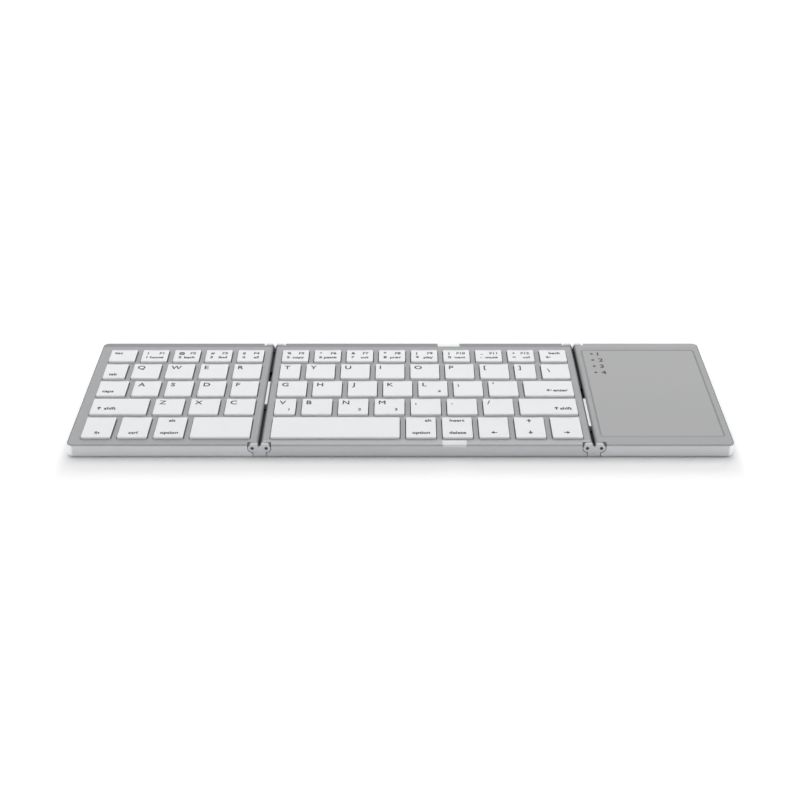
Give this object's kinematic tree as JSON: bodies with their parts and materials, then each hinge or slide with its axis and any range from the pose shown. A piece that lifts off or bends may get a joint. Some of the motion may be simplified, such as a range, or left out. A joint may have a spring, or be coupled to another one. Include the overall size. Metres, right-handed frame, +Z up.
{
  "type": "folding keyboard",
  "caption": "Flat travel keyboard in three hinged panels: a key wing, a centre key panel and a touch wing that fold over the keys on double-axis hinges.",
  "frame": {"origin": "middle of the footprint of the open keyboard, on the table under the feet", "axes": "+X along the rows of keys towards the touch wing, +Y to the back edge, +Z up"},
  "size_m": [0.3046, 0.1, 0.008],
  "materials": {
    "cover_metal": "satin",
    "deck_silver": "satin",
    "key_cap": "fine matt",
    "touch_sheet": "silk matt",
    "lens": "gloss",
    "hinge_metal": "satin",
    "pin_steel": "turned",
    "plate_steel": "blackened",
    "membrane_film": "gloss",
    "dome_rubber": "matt",
    "board_laminate": "solder mask",
    "battery_foil": "foil",
    "socket_steel": "stamped",
    "flex_film": "gloss",
    "foot_rubber": "matt",
    "screw_steel": "blackened"
  },
  "bodies": {
    "centre_panel": {"centre_bottom_cover": "cover_metal", "centre_deck_frame": "deck_silver", "centre_key_plate": "plate_steel", "centre_membrane": "membrane_film", "centre_domes": "dome_rubber", "centre_feet": "foot_rubber", "centre_screws": "screw_steel"},
    "left_link": {"left_hinge_spine": "hinge_metal", "left_hinge_pins": "pin_steel", "left_flex_cable": "flex_film"},
    "left_wing": {"left_bottom_cover": "cover_metal", "left_deck_frame": "deck_silver", "left_key_plate": "plate_steel", "left_membrane": "membrane_film", "left_domes": "dome_rubber", "left_feet": "foot_rubber", "left_screws": "screw_steel"},
    "right_link": {"right_hinge_spine": "hinge_metal", "right_hinge_pins": "pin_steel", "right_flex_cable": "flex_film"},
    "right_wing": {"right_bottom_cover": "cover_metal", "right_deck_frame": "deck_silver", "touch_surface": "touch_sheet", "touch_board": "board_laminate", "indicator_lenses": "lens", "battery": "battery_foil", "main_board": "board_laminate", "charging_socket": "socket_steel", "right_feet": "foot_rubber", "right_screws": "screw_steel"},
    "key_esc": {"key_esc": "key_cap"},
    "keys_1_to_4": {"keys_1_to_4": "key_cap"},
    "key_tab": {"key_tab": "key_cap"},
    "keys_q_to_r": {"keys_q_to_r": "key_cap"},
    "key_caps": {"key_caps": "key_cap"},
    "keys_a_to_f": {"keys_a_to_f": "key_cap"},
    "key_left_shift": {"key_left_shift": "key_cap"},
    "keys_z_to_c": {"keys_z_to_c": "key_cap"},
    "key_fn": {"key_fn": "key_cap"},
    "key_ctrl": {"key_ctrl": "key_cap"},
    "key_alt": {"key_alt": "key_cap"},
    "key_left_space": {"key_left_space": "key_cap"},
    "keys_5_to_8": {"keys_5_to_8": "key_cap"},
    "keys_9_to_equals": {"keys_9_to_equals": "key_cap"},
    "key_backspace": {"key_backspace": "key_cap"},
    "keys_t_to_i": {"keys_t_to_i": "key_cap"},
    "keys_o_to_bracket": {"keys_o_to_bracket": "key_cap"},
    "key_backslash": {"key_backslash": "key_cap"},
    "keys_g_to_k": {"keys_g_to_k": "key_cap"},
    "keys_l_to_quote": {"keys_l_to_quote": "key_cap"},
    "key_enter": {"key_enter": "key_cap"},
    "keys_v_to_m": {"keys_v_to_m": "key_cap"},
    "keys_comma_to_slash": {"keys_comma_to_slash": "key_cap"},
    "key_right_shift": {"key_right_shift": "key_cap"},
    "key_right_space": {"key_right_space": "key_cap"},
    "key_right_alt": {"key_right_alt": "key_cap"},
    "key_delete": {"key_delete": "key_cap"},
    "key_left_arrow": {"key_left_arrow": "key_cap"},
    "key_up_down": {"key_up_down": "key_cap"},
    "key_right_arrow": {"key_right_arrow": "key_cap"}
  },
  "joints": [
    {"name": "left_link_fold", "type": "hinge", "parent": "centre_panel", "child": "left_link", "pos_m": [-0.06115, 0, 0.00495], "axis": [0, 1, 0], "range_deg": [0, 90], "deforming": ["left_flex_cable"]},
    {"name": "left_wing_fold", "type": "hinge", "parent": "left_link", "child": "left_wing", "pos_m": [-0.06755, 0, 0.00495], "axis": [0, 1, 0], "range_deg": [0, 90]},
    {"name": "right_link_fold", "type": "hinge", "parent": "centre_panel", "child": "right_link", "pos_m": [0.08515, 0, 0.00495], "axis": [0, -1, 0], "range_deg": [0, 90], "deforming": ["right_flex_cable"]},
    {"name": "right_wing_fold", "type": "hinge", "parent": "right_link", "child": "right_wing", "pos_m": [0.09155, 0, 0.00495], "axis": [0, -1, 0], "range_deg": [0, 90]},
    {"name": "key_esc_press", "type": "slide", "parent": "left_wing", "child": "key_esc", "axis": [0, 0, -1], "range_m": [0, 0.0015], "stiffness_N_per_m": 150, "springref_m": -0.001},
    {"name": "keys_1_to_4_press", "type": "slide", "parent": "left_wing", "child": "keys_1_to_4", "axis": [0, 0, -1], "range_m": [0, 0.0015], "stiffness_N_per_m": 600, "springref_m": -0.001},
    {"name": "key_tab_press", "type": "slide", "parent": "left_wing", "child": "key_tab", "axis": [0, 0, -1], "range_m": [0, 0.0015], "stiffness_N_per_m": 150, "springref_m": -0.001},
    {"name": "keys_q_to_r_press", "type": "slide", "parent": "left_wing", "child": "keys_q_to_r", "axis": [0, 0, -1], "range_m": [0, 0.0015], "stiffness_N_per_m": 600, "springref_m": -0.001},
    {"name": "key_caps_press", "type": "slide", "parent": "left_wing", "child": "key_caps", "axis": [0, 0, -1], "range_m": [0, 0.0015], "stiffness_N_per_m": 150, "springref_m": -0.001},
    {"name": "keys_a_to_f_press", "type": "slide", "parent": "left_wing", "child": "keys_a_to_f", "axis": [0, 0, -1], "range_m": [0, 0.0015], "stiffness_N_per_m": 600, "springref_m": -0.001, "deforming": ["left_domes"]},
    {"name": "key_left_shift_press", "type": "slide", "parent": "left_wing", "child": "key_left_shift", "axis": [0, 0, -1], "range_m": [0, 0.0015], "stiffness_N_per_m": 150, "springref_m": -0.001},
    {"name": "keys_z_to_c_press", "type": "slide", "parent": "left_wing", "child": "keys_z_to_c", "axis": [0, 0, -1], "range_m": [0, 0.0015], "stiffness_N_per_m": 450, "springref_m": -0.001},
    {"name": "key_fn_press", "type": "slide", "parent": "left_wing", "child": "key_fn", "axis": [0, 0, -1], "range_m": [0, 0.0015], "stiffness_N_per_m": 150, "springref_m": -0.001},
    {"name": "key_ctrl_press", "type": "slide", "parent": "left_wing", "child": "key_ctrl", "axis": [0, 0, -1], "range_m": [0, 0.0015], "stiffness_N_per_m": 150, "springref_m": -0.001},
    {"name": "key_alt_press", "type": "slide", "parent": "left_wing", "child": "key_alt", "axis": [0, 0, -1], "range_m": [0, 0.0015], "stiffness_N_per_m": 150, "springref_m": -0.001},
    {"name": "key_left_space_press", "type": "slide", "parent": "left_wing", "child": "key_left_space", "axis": [0, 0, -1], "range_m": [0, 0.0015], "stiffness_N_per_m": 150, "springref_m": -0.001},
    {"name": "keys_5_to_8_press", "type": "slide", "parent": "centre_panel", "child": "keys_5_to_8", "axis": [0, 0, -1], "range_m": [0, 0.0015], "stiffness_N_per_m": 600, "springref_m": -0.001},
    {"name": "keys_9_to_equals_press", "type": "slide", "parent": "centre_panel", "child": "keys_9_to_equals", "axis": [0, 0, -1], "range_m": [0, 0.0015], "stiffness_N_per_m": 600, "springref_m": -0.001},
    {"name": "key_backspace_press", "type": "slide", "parent": "centre_panel", "child": "key_backspace", "axis": [0, 0, -1], "range_m": [0, 0.0015], "stiffness_N_per_m": 150, "springref_m": -0.001},
    {"name": "keys_t_to_i_press", "type": "slide", "parent": "centre_panel", "child": "keys_t_to_i", "axis": [0, 0, -1], "range_m": [0, 0.0015], "stiffness_N_per_m": 600, "springref_m": -0.001},
    {"name": "keys_o_to_bracket_press", "type": "slide", "parent": "centre_panel", "child": "keys_o_to_bracket", "axis": [0, 0, -1], "range_m": [0, 0.0015], "stiffness_N_per_m": 600, "springref_m": -0.001},
    {"name": "key_backslash_press", "type": "slide", "parent": "centre_panel", "child": "key_backslash", "axis": [0, 0, -1], "range_m": [0, 0.0015], "stiffness_N_per_m": 150, "springref_m": -0.001},
    {"name": "keys_g_to_k_press", "type": "slide", "parent": "centre_panel", "child": "keys_g_to_k", "axis": [0, 0, -1], "range_m": [0, 0.0015], "stiffness_N_per_m": 600, "springref_m": -0.001, "deforming": ["centre_domes"]},
    {"name": "keys_l_to_quote_press", "type": "slide", "parent": "centre_panel", "child": "keys_l_to_quote", "axis": [0, 0, -1], "range_m": [0, 0.0015], "stiffness_N_per_m": 450, "springref_m": -0.001},
    {"name": "key_enter_press", "type": "slide", "parent": "centre_panel", "child": "key_enter", "axis": [0, 0, -1], "range_m": [0, 0.0015], "stiffness_N_per_m": 150, "springref_m": -0.001},
    {"name": "keys_v_to_m_press", "type": "slide", "parent": "centre_panel", "child": "keys_v_to_m", "axis": [0, 0, -1], "range_m": [0, 0.0015], "stiffness_N_per_m": 600, "springref_m": -0.001},
    {"name": "keys_comma_to_slash_press", "type": "slide", "parent": "centre_panel", "child": "keys_comma_to_slash", "axis": [0, 0, -1], "range_m": [0, 0.0015], "stiffness_N_per_m": 450, "springref_m": -0.001},
    {"name": "key_right_shift_press", "type": "slide", "parent": "centre_panel", "child": "key_right_shift", "axis": [0, 0, -1], "range_m": [0, 0.0015], "stiffness_N_per_m": 150, "springref_m": -0.001},
    {"name": "key_right_space_press", "type": "slide", "parent": "centre_panel", "child": "key_right_space", "axis": [0, 0, -1], "range_m": [0, 0.0015], "stiffness_N_per_m": 150, "springref_m": -0.001},
    {"name": "key_right_alt_press", "type": "slide", "parent": "centre_panel", "child": "key_right_alt", "axis": [0, 0, -1], "range_m": [0, 0.0015], "stiffness_N_per_m": 150, "springref_m": -0.001},
    {"name": "key_delete_press", "type": "slide", "parent": "centre_panel", "child": "key_delete", "axis": [0, 0, -1], "range_m": [0, 0.0015], "stiffness_N_per_m": 150, "springref_m": -0.001},
    {"name": "key_left_arrow_press", "type": "slide", "parent": "centre_panel", "child": "key_left_arrow", "axis": [0, 0, -1], "range_m": [0, 0.0015], "stiffness_N_per_m": 150, "springref_m": -0.001},
    {"name": "key_up_down_press", "type": "slide", "parent": "centre_panel", "child": "key_up_down", "axis": [0, 0, -1], "range_m": [0, 0.0015], "stiffness_N_per_m": 150, "springref_m": -0.001},
    {"name": "key_right_arrow_press", "type": "slide", "parent": "centre_panel", "child": "key_right_arrow", "axis": [0, 0, -1], "range_m": [0, 0.0015], "stiffness_N_per_m": 150, "springref_m": -0.001}
  ]
}
